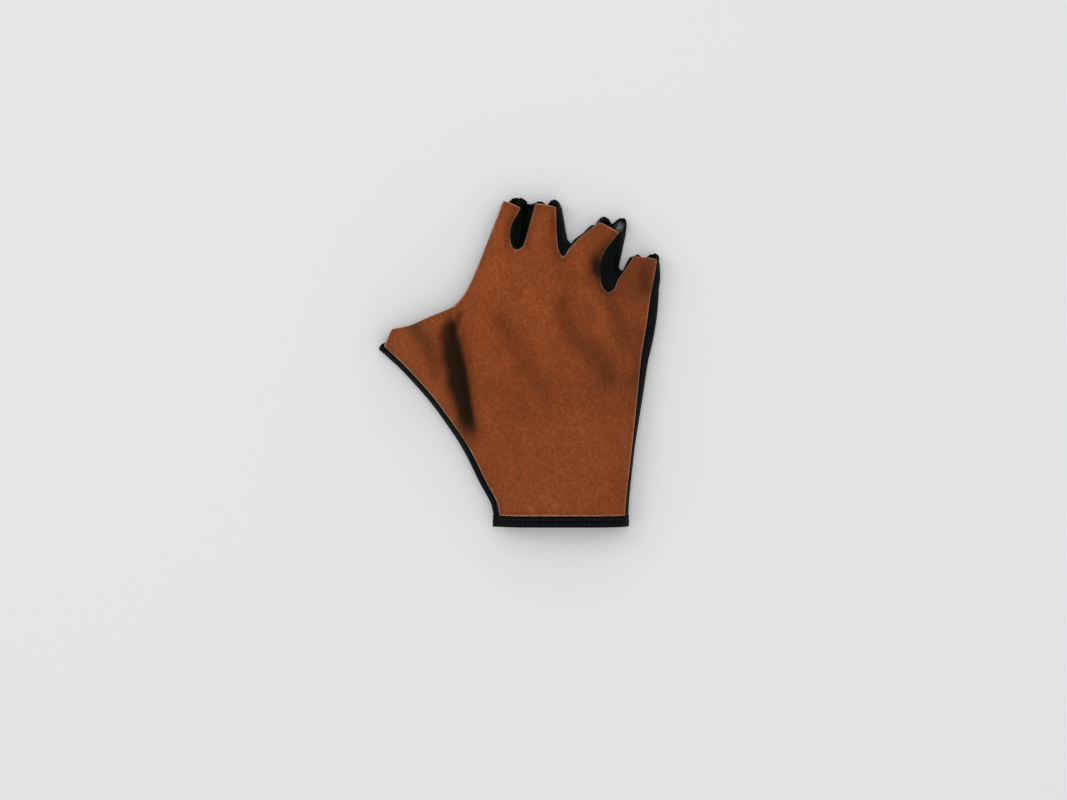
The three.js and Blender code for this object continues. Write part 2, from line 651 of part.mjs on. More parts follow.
// The binding round a mouth: down one wall, across the back and up the other
function bindingRow(leftPoints, rightPoints, pieces) {
  const [a, b] = [flat(last(leftPoints)), flat(last(rightPoints))];
  const across = between(a, b, pieces).map((p) => new THREE.Vector3(p.x, p.y, backHeight(p)));
  across[0] = last(leftPoints);
  across[pieces] = last(rightPoints);
  return joined(leftPoints, across, [...rightPoints].reverse());
}
// A thicker wall still rests on the surface, and still goes in under the leather
const bindingRise = (bindingWall - fabricWall) / 2;
const bindingRoom = 2.4; // how much lower it is than the fabric's wall, per rise
function fitted(row) {
  const low = Math.min(...row.map((p) => p.z));
  const high = Math.max(...row.map((p) => p.z));
  const squeeze = (high - low - bindingRoom * bindingRise) / (high - low);
  return row.map((p) => p.clone().setZ(low + bindingRise + (p.z - low) * squeeze));
}
function fingerBinding(f) {
  const rows = shares(hemStart(f), 1, hemRows + 1).map((s) => {
    return bindingRow(leftWall(f, s), rightWall(f, s), fingerColumns);
  });
  return thicken(new Surface().addPatch(rows.map(fitted)), bindingWall);
}
function thumbBinding() {
  const rows = shares(hemWidth, 0, hemRows + 1).map((fromMouth) =>
    bindingRow(
      sideWall(thumbSide, thumbShare(thumbSide, fromMouth)),
      sideWall(indexSide, thumbShare(indexSide, fromMouth)),
      fingerColumns,
    ),
  );
  return thicken(new Surface().addPatch(rows.map(fitted)), bindingWall);
}

// The cuff: a band round the wrist in line with the palm's and the back's ends
function cuffBand() {
  const [a, b] = [thumbSide.getPointAt(thumbSideStart), littleSide.getPointAt(littleSideStart)];
  const outer = (curve, share) => sideWall(curve, share).slice(1);
  const over = between(a, b, 4 * fingerColumns).map((p) => new THREE.Vector3(p.x, p.y, leatherHeight(p)));
  const down = outer(littleSide, littleSideStart);
  const up = outer(thumbSide, thumbSideStart).reverse();
  const under = between(flat(last(down)), flat(up[0]), 4 * fingerColumns)
    .map((p) => new THREE.Vector3(p.x, p.y, backHeight(p)));
  under[0] = last(down);
  under[under.length - 1] = up[0];
  const round = joined(down, under, up).map((p) => p.clone().setZ(p.z + bindingRise));
  const loop = [...over, ...round, over[0]];
  const rows = [0, 0.5, 1].map((s) => loop.map((p) => p.clone().setY(s * cuffWidth)));
  return thicken(new Surface().addPatch(rows), bindingWall);
}

// A tongue in plan: a straight sewn end at x = start, and a round end to its left
function tongue(start, length, low, width, endWidth, lean) {
  const endX = start - length;
  const radius = endWidth / 2;
  const shoulder = endX + radius;
  const endLow = low + (width - endWidth) / 2 + lean;
  const middle = endLow + radius;
  const endHigh = endLow + endWidth;
  const bulge = circleBulge * radius;
  const shape = new THREE.Shape();
  shape.moveTo(start, low);
  shape.lineTo(start, low + width);
  shape.lineTo(shoulder, endHigh);
  shape.bezierCurveTo(shoulder - bulge, endHigh, endX, middle + bulge, endX, middle);
  shape.bezierCurveTo(endX, middle - bulge, shoulder - bulge, endLow, shoulder, endLow);
  shape.closePath();
  return shape;
}

// The slit in the back, from below the cuff to its round end, and anything that follows its outline
function slitShape(margin, start) {
  const right = wristShift + slitStart + margin;
  const left = right - slitWidth - 2 * margin;
  const radius = (right - left) / 2;
  const straight = slitLength + margin - radius;
  const shape = new THREE.Shape();
  shape.moveTo(right, start);
  shape.lineTo(right, straight);
  shape.absarc((right + left) / 2, straight, radius, 0, Math.PI, false);
  shape.lineTo(left, start);
  shape.closePath();
  return shape;
}

// A sheet that follows the back's height, at a distance above it, cut to an outline
function followingSheet(shape, above, wall) {
  const box = new THREE.Box2().setFromPoints(shape.getPoints(12)).expandByScalar(1);
  const cell = 5;
  const columns = Math.ceil((box.max.x - box.min.x) / cell);
  const rows = Math.ceil((box.max.y - box.min.y) / cell);
  const across = shares(box.min.x, box.max.x, columns);
  const grid = shares(box.min.y, box.max.y, rows).map((y) => across.map((x) => point(x, y)));
  const sheet = thicken(new Surface().addPatch(raised(grid, (p) => backHeight(p) + above)), wall);
  return keptWithin(sheet, prism(shape, -wall, gloveLength));
}

const blackFabric = new THREE.MeshStandardMaterial({ color: 0x0c0d10, roughness: 0.82, metalness: 0 });
const blackKnit = new THREE.MeshStandardMaterial({ color: 0x131417, roughness: 0.9, metalness: 0 });
const blackBinding = new THREE.MeshStandardMaterial({ color: 0x0a0a0c, roughness: 0.75, metalness: 0 });
const suede = new THREE.MeshStandardMaterial({ color: 0x8a4a26, roughness: 0.95, metalness: 0 });

const glove = new THREE.Group();
function add(name, geometry, material) {
  const whole = geometry.index ? geometry.toNonIndexed() : geometry;
  whole.computeVertexNormals();
  const mesh = new THREE.Mesh(whole, material);
  mesh.name = name;
  glove.add(mesh);
}

add('palm', palmPanel(), suede);
const slitCut = prism(slitShape(0, 0), -1, sideSeamHeight);
add('back', cutAway(thicken(backPanel(), fabricWall), slitCut), blackFabric);
fingers.slice(1).forEach((after, i) => {
  add(`fourchette_${fingers[i].name}_${after.name}`, fourchette(fingers[i], after), blackFabric);
});
fingers.forEach((f) => add(`${f.name}_binding`, fingerBinding(f), blackBinding));
add('thumb_binding', thumbBinding(), blackBinding);
add('cuff', cuffBand(), blackBinding);
const gussetAbove = fabricWall + layerGap;
add('wrist_gusset', followingSheet(slitShape(gussetMargin, cuffTop), gussetAbove, fabricWall), blackKnit);
const strapShape = tongue(strapX(0), strapLength, strapLow, strapWidth, strapWidth, strapLean);
add('strap', prism(strapShape, strapBottom, strapTop), blackBinding);
const tabTaper = (tabWidth - tabEndWidth) / 2;
const tabShape = tongue(strapX(tabInset), tabLength, tabLow, tabWidth, tabEndWidth, tabLean - tabTaper);
add('strap_tab', prism(tabShape, 0, tabWall), suede);
const patchShape = tongue(
  strapX(strapLength - patchLength),
  patchLength - patchMargin,
  strapLow + strapLean + patchMargin,
  strapWidth - 2 * patchMargin,
  strapWidth - 2 * patchMargin,
  0,
);
add('loop_patch', prism(patchShape, strapTop + seamGap, strapTop + seamGap + patchWall), blackKnit);

// The frame's origin is on the surface the glove lies on, under the middle of the glove
glove.updateMatrixWorld(true);
const box = new THREE.Box3().setFromObject(glove, true);
glove.position.set(-(box.min.x + box.max.x) / 2, -(box.min.y + box.max.y) / 2, -box.min.z);

export default glove;
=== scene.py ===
import math

import bmesh
import bpy
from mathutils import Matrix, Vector, noise
from mathutils.bvhtree import BVHTree
from mathutils.kdtree import KDTree


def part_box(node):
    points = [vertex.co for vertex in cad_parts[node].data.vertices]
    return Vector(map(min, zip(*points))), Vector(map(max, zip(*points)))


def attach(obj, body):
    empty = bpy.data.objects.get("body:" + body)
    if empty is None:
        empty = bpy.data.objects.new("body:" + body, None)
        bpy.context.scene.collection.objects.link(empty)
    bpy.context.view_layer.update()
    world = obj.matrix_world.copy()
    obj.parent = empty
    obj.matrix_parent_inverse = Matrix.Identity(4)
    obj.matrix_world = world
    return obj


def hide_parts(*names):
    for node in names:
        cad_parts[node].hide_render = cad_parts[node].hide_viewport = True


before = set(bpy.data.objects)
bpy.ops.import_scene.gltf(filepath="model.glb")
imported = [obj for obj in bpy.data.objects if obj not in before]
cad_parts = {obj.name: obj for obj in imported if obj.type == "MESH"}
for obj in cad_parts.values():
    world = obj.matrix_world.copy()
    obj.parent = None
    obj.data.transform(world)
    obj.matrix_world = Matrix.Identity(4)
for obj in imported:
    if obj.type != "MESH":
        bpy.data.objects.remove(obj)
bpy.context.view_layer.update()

# The glove lies on a plain pale surface and is seen from straight above.
# A big soft light stands on the thumb's side, and the room fills the shadows.
mm = 0.001
frame_across = 593.8 * mm
frame_centre = (7.865 * mm, -20.7 * mm)
lens_height = frame_across / 2 / (18 / 85)

camera = bpy.data.objects.new("camera", bpy.data.cameras.new("camera"))
camera.data.lens = 85
camera.data.sensor_width = 36
camera.data.clip_end = 20
camera.location = (*frame_centre, lens_height + 10 * mm)
bpy.context.collection.objects.link(camera)
bpy.context.scene.camera = camera
bpy.context.scene.view_settings.view_transform = "Standard"


def light(name, place, size, watts, aim=(0.0, 0.0, 0.0)):
    """A square area light at a place, turned to what it lights."""
    lamp = bpy.data.lights.new(name, "AREA")
    lamp.size = size
    lamp.energy = watts
    holder = bpy.data.objects.new(name, lamp)
    holder.location = place
    holder.rotation_mode = "QUATERNION"
    holder.rotation_quaternion = (Vector(aim) - Vector(place)).to_track_quat("-Z", "Y")
    bpy.context.collection.objects.link(holder)


light("window", (-2.3, 1.1, 1.9), 1.2, 12.5)
light("overhead", (0.1, 0.2, 1.7), 1.2, 3.4)

room = bpy.data.worlds.new("room")
room.use_nodes = True
room.node_tree.nodes["Background"].inputs["Color"].default_value = (1.0, 1.0, 1.0, 1.0)
room.node_tree.nodes["Background"].inputs["Strength"].default_value = 0.805
bpy.context.scene.world = room


def surface_material(name, roughness):
    """A new node material, with its tree and its main shader."""
    material = bpy.data.materials.new(name)
    material.use_nodes = True
    tree = material.node_tree
    shader = tree.nodes["Principled BSDF"]
    shader.inputs["Roughness"].default_value = roughness
    return material, tree, shader


def colour_between(tree, factor, dark, pale):
    """A mix of two colours by a factor socket."""
    mix = tree.nodes.new("ShaderNodeMix")
    mix.data_type = "RGBA"
    tree.links.new(factor, mix.inputs["Factor"])
    for socket, colour in (("A", dark), ("B", pale)):
        if isinstance(colour, bpy.types.NodeSocket):
            tree.links.new(colour, next(s for s in mix.inputs if s.name == socket and s.type == "RGBA"))
        else:
            next(s for s in mix.inputs if s.name == socket and s.type == "RGBA").default_value = (*colour, 1.0)
    return next(s for s in mix.outputs if s.type == "RGBA")


def grain(tree, size, detail=2.0, stretch=(1.0, 1.0, 1.0), turn=0.0):
    """Noise whose patches are about a size across, in metres, on the piece's own coordinates."""
    place = tree.nodes.new("ShaderNodeTexCoord")
    mapping = tree.nodes.new("ShaderNodeMapping")
    mapping.inputs["Scale"].default_value = stretch
    mapping.inputs["Rotation"].default_value = (0.0, 0.0, turn)
    cloud = tree.nodes.new("ShaderNodeTexNoise")
    cloud.inputs["Scale"].default_value = 0.5 / size
    cloud.inputs["Detail"].default_value = detail
    tree.links.new(place.outputs["Object"], mapping.inputs["Vector"])
    tree.links.new(mapping.outputs["Vector"], cloud.inputs["Vector"])
    return cloud.outputs["Fac"]


def spread(tree, value, low, high):
    """Stretches a value so that low to high becomes 0 to 1."""
    scale = tree.nodes.new("ShaderNodeMapRange")
    scale.inputs["From Min"].default_value = low
    scale.inputs["From Max"].default_value = high
    tree.links.new(value, scale.inputs["Value"])
    return scale.outputs["Result"]


def painted(tree, name):
    """A value painted on the piece's corners."""
    attribute = tree.nodes.new("ShaderNodeAttribute")
    attribute.attribute_name = name
    return attribute.outputs["Fac"]


def bumped(tree, shader, *layers):
    """Raises the surface by each (value, strength, depth) in turn."""
    normal = None
    for value, strength, depth in layers:
        bump = tree.nodes.new("ShaderNodeBump")
        bump.inputs["Strength"].default_value = strength
        bump.inputs["Distance"].default_value = depth
        tree.links.new(value, bump.inputs["Height"])
        if normal:
            tree.links.new(normal, bump.inputs["Normal"])
        normal = bump.outputs["Normal"]
    tree.links.new(normal, shader.inputs["Normal"])


floor_material, floor_tree, floor_shader = surface_material("pale surface", 0.9)
floor_shader.inputs["Base Color"].default_value = (0.8, 0.8, 0.8, 1.0)
floor_shape = bmesh.new()
bmesh.ops.create_grid(floor_shape, x_segments=1, y_segments=1, size=3.0)
floor = bpy.data.objects.new("surface", bpy.data.meshes.new("surface"))
floor_shape.to_mesh(floor.data)
floor_shape.free()
floor.data.materials.append(floor_material)
bpy.context.collection.objects.link(floor)

# The palm is one piece of tan suede, 1.3 mm thick, with its edges left raw.
# It is topstitched to the black fabric all round, and creased where the thumb folds over it. The shade in that
# crease and in its folds is painted into its colour.
raw_edge_sharpness = 0.8
stitch_inset = 2.0 * mm
stitch_groove = 0.2 * mm
seam_fade = 9 * mm


def welded(node):
    """A bmesh of a CAD node, its loose triangles welded and paired into quads."""
    shape = bmesh.new()
    shape.from_mesh(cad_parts[node].data)
    bmesh.ops.remove_doubles(shape, verts=shape.verts, dist=2e-6)
    bmesh.ops.join_triangles(
        shape,
        faces=shape.faces,
        angle_face_threshold=math.radians(60),
        angle_shape_threshold=math.radians(100),
    )
    shape.edges.layers.float.new("crease_edge")
    shape.verts.layers.float.new("crease_vert")
    return shape


def sharp_edges(shape, angle=math.radians(50)):
    """The edges of a shape at which its faces turn by more than an angle."""
    return {edge for edge in shape.edges if len(edge.link_faces) == 2 and edge.calc_face_angle() > angle}


def outer_sheet(shape):
    """The faces of a walled sheet's upper side: all that its highest face leads to inside the rim."""
    rim = sharp_edges(shape)
    waiting = [max(shape.faces, key=lambda face: face.calc_center_median().z)]
    found = set(waiting)
    while waiting:
        for edge in waiting.pop().edges:
            fresh = set() if edge in rim else set(edge.link_faces) - found
            found |= fresh
            waiting.extend(fresh)
    return found


def edges_between(faces):
    """The edges that lie between a set of faces and the rest."""
    return {edge for face in faces for edge in face.edges if len(faces.intersection(edge.link_faces)) == 1}


def keep_corners(shape, edges, turn=math.radians(58)):
    """Keeps the corners of a rim sharp, where it turns by more than an angle in plan."""
    crease = shape.verts.layers.float["crease_vert"]
    for v in {v for edge in edges for v in edge.verts}:
        ways = [(e.other_vert(v).co - v.co).to_2d() for e in v.link_edges if e in edges]
        if len(ways) == 2 and ways[0].angle(ways[1]) < math.pi - turn:
            v[crease] = 1.0


def longest_run(edges):
    """The longest unbroken run of a set of edges, as places in order."""
    left = set(edges)
    runs = []
    while left:
        edge = left.pop()
        run = list(edge.verts)
        step = edge
        while step:
            step = next((e for e in run[-1].link_edges if e in left), None)
            if step:
                left.remove(step)
                run.append(step.other_vert(run[-1]))
        runs.append([v.co.copy() for v in run])
    return max(runs, key=len)


def refined(shape, levels, sharpness, rim=None):
    """The same shape as a smooth, finer mesh, its rim kept fairly sharp."""
    crease = shape.edges.layers.float["crease_edge"]
    for edge in rim or sharp_edges(shape):
        edge[crease] = sharpness
    rough = bpy.data.meshes.new("rough")
    shape.to_mesh(rough)
    shape.free()
    holder = bpy.data.objects.new("rough", rough)
    bpy.context.collection.objects.link(holder)
    smooth = holder.modifiers.new("smooth", "SUBSURF")
    smooth.levels = smooth.render_levels = levels
    graph = bpy.context.evaluated_depsgraph_get()
    finer = bmesh.new()
    finer.from_mesh(bpy.data.meshes.new_from_object(holder.evaluated_get(graph)))
    bpy.data.objects.remove(holder)
    return finer


def evenly(points, spacing):
    """Points at an even spacing along a run."""
    lengths = [0.0]
    for a, b in zip(points, points[1:]):
        lengths.append(lengths[-1] + (b - a).length)
    count = max(2, round(lengths[-1] / spacing))
    out = []
    k = 0
    for i in range(count + 1):
        target = lengths[-1] * i / count
        while k < len(lengths) - 2 and lengths[k + 1] < target:
            k += 1
        part = (target - lengths[k]) / max(lengths[k + 1] - lengths[k], 1e-9)
        out.append(points[k].lerp(points[k + 1], part))
    return out


def ease(value, low, high):
    t = min(max((value - low) / (high - low), 0.0), 1.0)
    return t * t * (3 - 2 * t)


def from_rows(rows, at, soft=True):
    """The values of a table at a place: each row is a place and its values, which run to those of the next."""
    for (low, *a), (high, *b) in zip(rows, rows[1:]):
        if at <= high:
            part = ease(at, low, high) if soft else max(at - low, 0.0) / (high - low)
            return [p + (q - p) * part for p, q in zip(a, b)]
    return list(rows[-1][1:])


def beside(place, run):
    """A place by a run of plan points: how far along it, 0 to 1 and past both ends, and how far to its left."""
    best = None
    total = sum((b - a).length for a, b in zip(run, run[1:]))
    gone = 0.0
    for i, (a, b) in enumerate(zip(run, run[1:])):
        step = b - a
        length = step.length
        rel = place - a
        along = rel.dot(step) / length
        left = (step.x * rel.y - step.y * rel.x) / length
        low = None if i == 0 else 0.0
        high = None if i == len(run) - 2 else length
        held = along if low is None else max(along, low)
        held = held if high is None else min(held, high)
        away = math.hypot(along - held, left)
        if best is None or away < best[0]:
            best = (away, (gone + held) / total, math.copysign(away, left))
        gone += length
    return best[1], best[2]


def finish_piece(shape, name, slot_name, node, *materials, levels=0):
    """Makes the object of a piece, gives it its material, and ties it to the frame."""
    mesh = bpy.data.meshes.new(name)
    shape.to_mesh(mesh)
    shape.free()
    for polygon in mesh.polygons:
        polygon.use_smooth = True
    for material in materials:
        mesh.materials.append(material)
    piece = bpy.data.objects.new(name, mesh)
    bpy.context.collection.objects.link(piece)
    if levels:
        smooth = piece.modifiers.new("smooth", "SUBSURF")
        smooth.levels = smooth.render_levels = levels
    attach(piece, "root")
    if node:
        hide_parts(node)
    return piece


leather_low, leather_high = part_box("palm")
leather_size = leather_high - leather_low


def on_palm(across, along):
    """A place in plan by shares of the leather's width and length, from its lower left corner."""
    return Vector((leather_low.x + across * leather_size.x, leather_low.y + along * leather_size.y))


# Soft strokes on the leather, as runs of places: half width and lift in mm, and how much painted shade the stroke
# lays on the nap, below zero painted light
strokes = [
    (((0.43, 0.63), (0.527, 0.47), (0.585, 0.42)), 9, -1.3, 0.22),
    (((0.65, 0.69), (0.69, 0.575), (0.80, 0.485), (0.82, 0.43)), 10, -1.8, 0.28),
    (((0.825, 0.69), (0.875, 0.60), (0.892, 0.53)), 7.5, -1.1, 0.22),
    (((0.93, 0.60), (0.925, 0.50), (0.918, 0.42)), 5, -0.5, 0.22),
    (((0.787, 0.815), (0.783, 0.775)), 7.5, -0.3, 0.66),
    (((0.797, 0.78), (0.815, 0.715)), 6, 0.0, 0.42),
    (((0.845, 0.885), (0.805, 0.835)), 4.5, 0.0, 0.42),
    (((0.80, 0.91), (0.765, 0.82), (0.77, 0.75)), 8.5, 0.0, 0.22),
    (((0.958, 0.80), (0.965, 0.72)), 7.5, 0.0, 0.34),
    (((0.92, 0.78), (0.92, 0.69)), 12, 0.0, 0.34),
    (((0.476, 0.935), (0.470, 0.885)), 4.0, 0.0, 0.38),
    (((0.618, 0.955), (0.622, 0.90)), 2.6, 0.0, 0.20),
    (((0.555, 0.95), (0.56, 0.86)), 4, 0.0, -0.08),
    (((0.65, 0.84), (0.635, 0.76), (0.69, 0.75)), 6.5, 0.0, 0.19),
    (((0.41, 0.94), (0.44, 0.85), (0.38, 0.74), (0.345, 0.71)), 9, 0.0, -0.20),
    (((0.37, 0.65), (0.36, 0.52)), 8, 0.0, -0.14),
    (((0.54, 0.71), (0.60, 0.62)), 10, 1.2, -0.12),
    (((0.61, 0.71), (0.60, 0.68)), 5, 0.0, -0.13),
    (((0.765, 0.60), (0.79, 0.57)), 7, 1.1, -0.13),
    (((0.75, 0.70), (0.795, 0.68), (0.80, 0.58)), 6.5, 0.5, -0.23),
    (((0.50, 0.435), (0.60, 0.44)), 5, 0.6, -0.05),
    (((0.105, 0.60), (0.155, 0.55), (0.182, 0.49), (0.195, 0.44)), 7, -0.4, 0.36),
    (((0.12, 0.62), (0.20, 0.52)), 10, 0.0, 0.10),
    (((0.145, 0.45), (0.20, 0.36)), 6, 0.3, -0.13),
    (((0.075, 0.52), (0.105, 0.48)), 5, 0.0, -0.08),
    (((0.259, 0.590), (0.281, 0.645)), 3.8, 0.0, 0.50),
    (((0.46, 0.84), (0.51, 0.825)), 5, 0.0, -0.15),
    (((0.70, 0.875), (0.705, 0.85)), 4, 0.0, -0.14),
    (((0.80, 0.70), (0.86, 0.38)), 24, 0.0, 0.14),
    (((0.45, 0.36), (0.80, 0.38)), 24, 0.0, 0.13),
    (((0.88, 0.44), (0.92, 0.36)), 9, 0.0, 0.10),
    (((0.975, 0.57), (0.955, 0.36)), 6.5, 0.0, 0.27),
]
stroke_runs = [([on_palm(*p) for p in run], half * mm, lift * mm, dark) for run, half, lift, dark in strokes]

# The crease at the root of the thumb, cut into the leather and with its shade painted into the leather's colour. The
# ball of the thumb falls softly into it, and the palm rises steeply out of it along this run of places.
crease_run = [
    on_palm(*place)
    for place in ((0.249, 0.634), (0.266, 0.580), (0.297, 0.465), (0.310, 0.408), (0.319, 0.351), (0.333, 0.294), (0.345, 0.235))
]
crease_depth = 3.2 * mm
# By mm to the palm's side of it: how much painted shade lies in it and how deep it is, as shares
crease_rows = ((-14.3, 0.0, 0.0), (-6.0, 0.92, 0.6), (-1.6, 1.0, 1.0), (2.4, 0.20, 0.1), (7.0, 0.0, 0.0))
# By share of its length: how wide its soft side is
crease_widths = ((0.0, 0.45), (0.14, 0.9), (0.35, 1.06), (0.52, 1.08), (0.74, 0.88))

# The cut edge comes to a point between the middle and ring fingers: places, how far they move, and reach, in mm
crotch_cuts = ((on_palm(0.684, 0.834), (-0.9, 0.75), 5.5), (on_palm(0.659, 0.827), (0.0, -0.7), 4.0))


def cut_to_point(place):
    """A place in plan, moved as the leather's cut edge is at the crotch."""
    for centre, (x, y), reach in crotch_cuts:
        place = place + Vector((x, y)) * mm * (1 - ease((place - centre).length, 0, reach * mm))
    return place



rough_palm = welded("palm")
palm_sheet = outer_sheet(rough_palm)
palm_rim = edges_between(palm_sheet)
palm_wall = {face for edge in palm_rim for face in edge.link_faces} - palm_sheet
palm_edge = evenly(longest_run(palm_rim), 0.6 * mm)
edge_tree = KDTree(len(palm_edge))
for i, p in enumerate(palm_edge):
    edge_tree.insert((p.x, p.y, 0), i)
edge_tree.balance()
keep_corners(rough_palm, edges_between(palm_wall))
palm = refined(rough_palm, 3, raw_edge_sharpness, edges_between(palm_wall))
tone_and_shade = palm.verts.layers.float.new("tone_and_shade")
raw = palm.verts.layers.float.new("raw")
for v in palm.verts:
    place = v.co.to_2d()
    from_edge = edge_tree.find((place.x, place.y, 0))[2]
    inside = ease(from_edge, 1.5 * mm, seam_fade)
    lift = 0.0
    shade = 0.0
    # Each stroke lifts the leather into a fold and lays painted shade, or painted light, along it
    for run, half, height, darker in stroke_runs:
        share, left = beside(place, run)
        reach = half / (run[-1] - run[0]).length
        weight = (1 - ease(abs(left), 0, half)) * ease(share, -reach, reach * 0.4) * (1 - ease(share, 1 - reach * 0.4, 1 + reach))
        lift += height * weight
        shade += darker * weight
    broad = noise.noise(Vector((place.x * 45 + 3.1, place.y * 38, 0.4)))
    wave = noise.noise(Vector((place.x * 150, place.y * 100, 1.7)))
    fine = noise.noise(Vector((place.x * 420 + place.y * 130, place.y * 260, 4.2)))
    lift += (0.45 * broad + 0.20 * wave + 0.07 * fine) * mm
    share, left = beside(place, crease_run)
    ends = ease(share, -0.07, 0.10) * (1 - ease(share, 0.76, 1.1)) * (0.87 + 0.13 * ease(share, 0.05, 0.35))
    width = from_rows(crease_widths, share)[0] if left < 0 else 1.0
    dark, deep = from_rows(crease_rows, left / mm / width)
    # Painted shade in the crease, full at its bottom and fading up the thumb's side
    band = dark * ends
    lift -= crease_depth * deep * ends
    groove = math.exp(-(((from_edge - stitch_inset) / (0.8 * mm)) ** 2)) * stitch_groove
    v.co = Vector((*cut_to_point(place), v.co.z + lift * inside - groove))
    near_edge = 1 - ease(from_edge, 0.5 * mm, 6 * mm)
    # Tone and shade: painted shade of the strokes and the crease, painted light where a stroke is below zero, a
    # little darker near the edge, and a random ripple
    v[tone_and_shade] = min(max(max(shade, 0) * (1 - band) + band + min(shade, 0) + 0.12 + 0.04 * near_edge + 0.09 * wave, 0.0), 1.0)
    v[raw] = 1 - ease(from_edge, 0.1 * mm, 0.5 * mm)

palm_edge = [Vector((*cut_to_point(p.to_2d()), p.z)) for p in palm_edge]

shaded_brown = (0.0205, 0.0096, 0.0048)
suede, suede_tree, suede_shader = surface_material("tan suede", 0.92)
mottle = grain(suede_tree, 14 * mm, 4.0)
nap = grain(suede_tree, 1.1 * mm, 3.0, (1.0, 0.55, 1.0), 0.25)
fibre = grain(suede_tree, 0.35 * mm, 2.0)
base = colour_between(suede_tree, spread(suede_tree, mottle, 0.3, 0.7), (0.286, 0.0700, 0.0185), (0.345, 0.0900, 0.0253))
brushed = colour_between(suede_tree, spread(suede_tree, nap, 0.2, 0.7), (0.240, 0.0550, 0.0148), base)
specks = spread(suede_tree, grain(suede_tree, 0.6 * mm, 2.0, (1.0, 0.7, 1.0)), 0.27, 0.62)
napped = colour_between(suede_tree, specks, (0.200, 0.0450, 0.0125), brushed)
edged = colour_between(suede_tree, painted(suede_tree, "raw"), napped, (0.54, 0.32, 0.20))
# Painted shade from the crease and folds, and the leather's own random tone, darken the nap towards the shaded brown
toned_and_shaded = colour_between(suede_tree, painted(suede_tree, "tone_and_shade"), edged, shaded_brown)
suede_tree.links.new(toned_and_shaded, suede_shader.inputs["Base Color"])
suede_shader.inputs["Sheen Weight"].default_value = 0.06
suede_shader.inputs["Sheen Roughness"].default_value = 0.5
suede_shader.inputs["Sheen Tint"].default_value = (0.9, 0.55, 0.35, 1.0)
suede_shader.inputs["Specular IOR Level"].default_value = 0.05
bumped(suede_tree, suede_shader, (nap, 0.25, 0.3 * mm), (fibre, 0.35, 0.12 * mm))
# The palm's painted shade and tone, kept for the stitches that lie on it
palm_tone_and_shade = [v[tone_and_shade] for v in palm.verts]
tone_and_shade_tree = KDTree(len(palm_tone_and_shade))
for i, v in enumerate(palm.verts):
    tone_and_shade_tree.insert(v.co, i)
tone_and_shade_tree.balance()
palm_piece = finish_piece(palm, "suede_palm", "suede", "palm", suede)

# Brown thread topstitches the leather's edge to the fabric, in short stitches that sink into the nap. Each stitch on
# the palm carries the painted shade of the leather under it.
stitch_pitch = 3.1 * mm
stitch_length = 2.1 * mm
thread_radius = 0.17 * mm


def surface_tree(piece):
    """A search tree of a piece's finished faces."""
    graph = bpy.context.evaluated_depsgraph_get()
    return BVHTree.FromObject(piece, graph)


def inset_run(points, distance):
    """A closed run in plan moved to its inside, by a distance."""
    turn = sum(a.x * b.y - b.x * a.y for a, b in zip(points, points[1:]))
    side = 1 if turn > 0 else -1
    moved = []
    for i, p in enumerate(points):
        before, after = points[i - 3], points[(i + 3) % len(points)]
        along = (after - before).to_2d()
        if along.length < 1e-9:
            continue
        inward = Vector((-along.y, along.x)).normalized() * side
        moved.append(p + Vector((inward.x, inward.y, 0)) * distance)
    return moved


def stitches(run, tree, above, name, material, slot_name, pitch, length, radius, drop=Vector((0, 0, -1))):
    """A row of stitches along a run, each a small bent bead of thread laid on the surface."""
    shape = bmesh.new()
    shade_layer = shape.verts.layers.float.new("tone_and_shade")
    for a, b in zip(run[::1], run[1::1]):
        middle = (a + b) / 2
        start = middle - drop * above
        hit, normal, _, _ = tree.ray_cast(start, drop, above * 2)
        if hit is None:
            continue
        along = b - a
        along -= normal * along.dot(normal)
        if along.length < 0.3 * pitch:
            continue
        along.normalize()
        side = normal.cross(along)
        made = bmesh.ops.create_uvsphere(shape, u_segments=6, v_segments=5, radius=1.0)
        for v in made["verts"]:
            x, y, z = v.co
            sag = -0.25 * radius * z * z * 2
            v.co = hit + along * (z * length / 2) + side * (x * radius) + normal * (y * radius + 0.25 * radius + sag)
            v.co.z = max(v.co.z, 0.02 * mm)
            # Stitches laid from above take the painted shade and tone of the palm under them
            v[shade_layer] = palm_tone_and_shade[tone_and_shade_tree.find(hit)[1]] if drop.z < 0 else 0.0
    return finish_piece(shape, name, slot_name, None, material)


thread, thread_tree, thread_shader = surface_material("brown thread", 0.7)
twist = grain(thread_tree, 0.25 * mm, 1.0)
twisted = colour_between(thread_tree, twist, (0.095, 0.028, 0.010), (0.16, 0.045, 0.015))
# The thread is darkened towards the shaded brown by the painted shade it carries
thread_tree.links.new(
    colour_between(thread_tree, painted(thread_tree, "tone_and_shade"), twisted, shaded_brown),
    thread_shader.inputs["Base Color"],
)
bumped(thread_tree, thread_shader, (twist, 0.3, 0.1 * mm))
palm_tree = surface_tree(palm_piece)
palm_run = evenly(inset_run(palm_edge, stitch_inset), stitch_pitch)
stitches(palm_run, palm_tree, 30 * mm, "palm_stitches", thread, "suede", stitch_pitch, stitch_length, thread_radius)

# The back is black stretch fabric with a dull satin face, in one piece from the thumb's side of the
# hand, under it, to the little finger's side. It is sewn under the leather's edge.


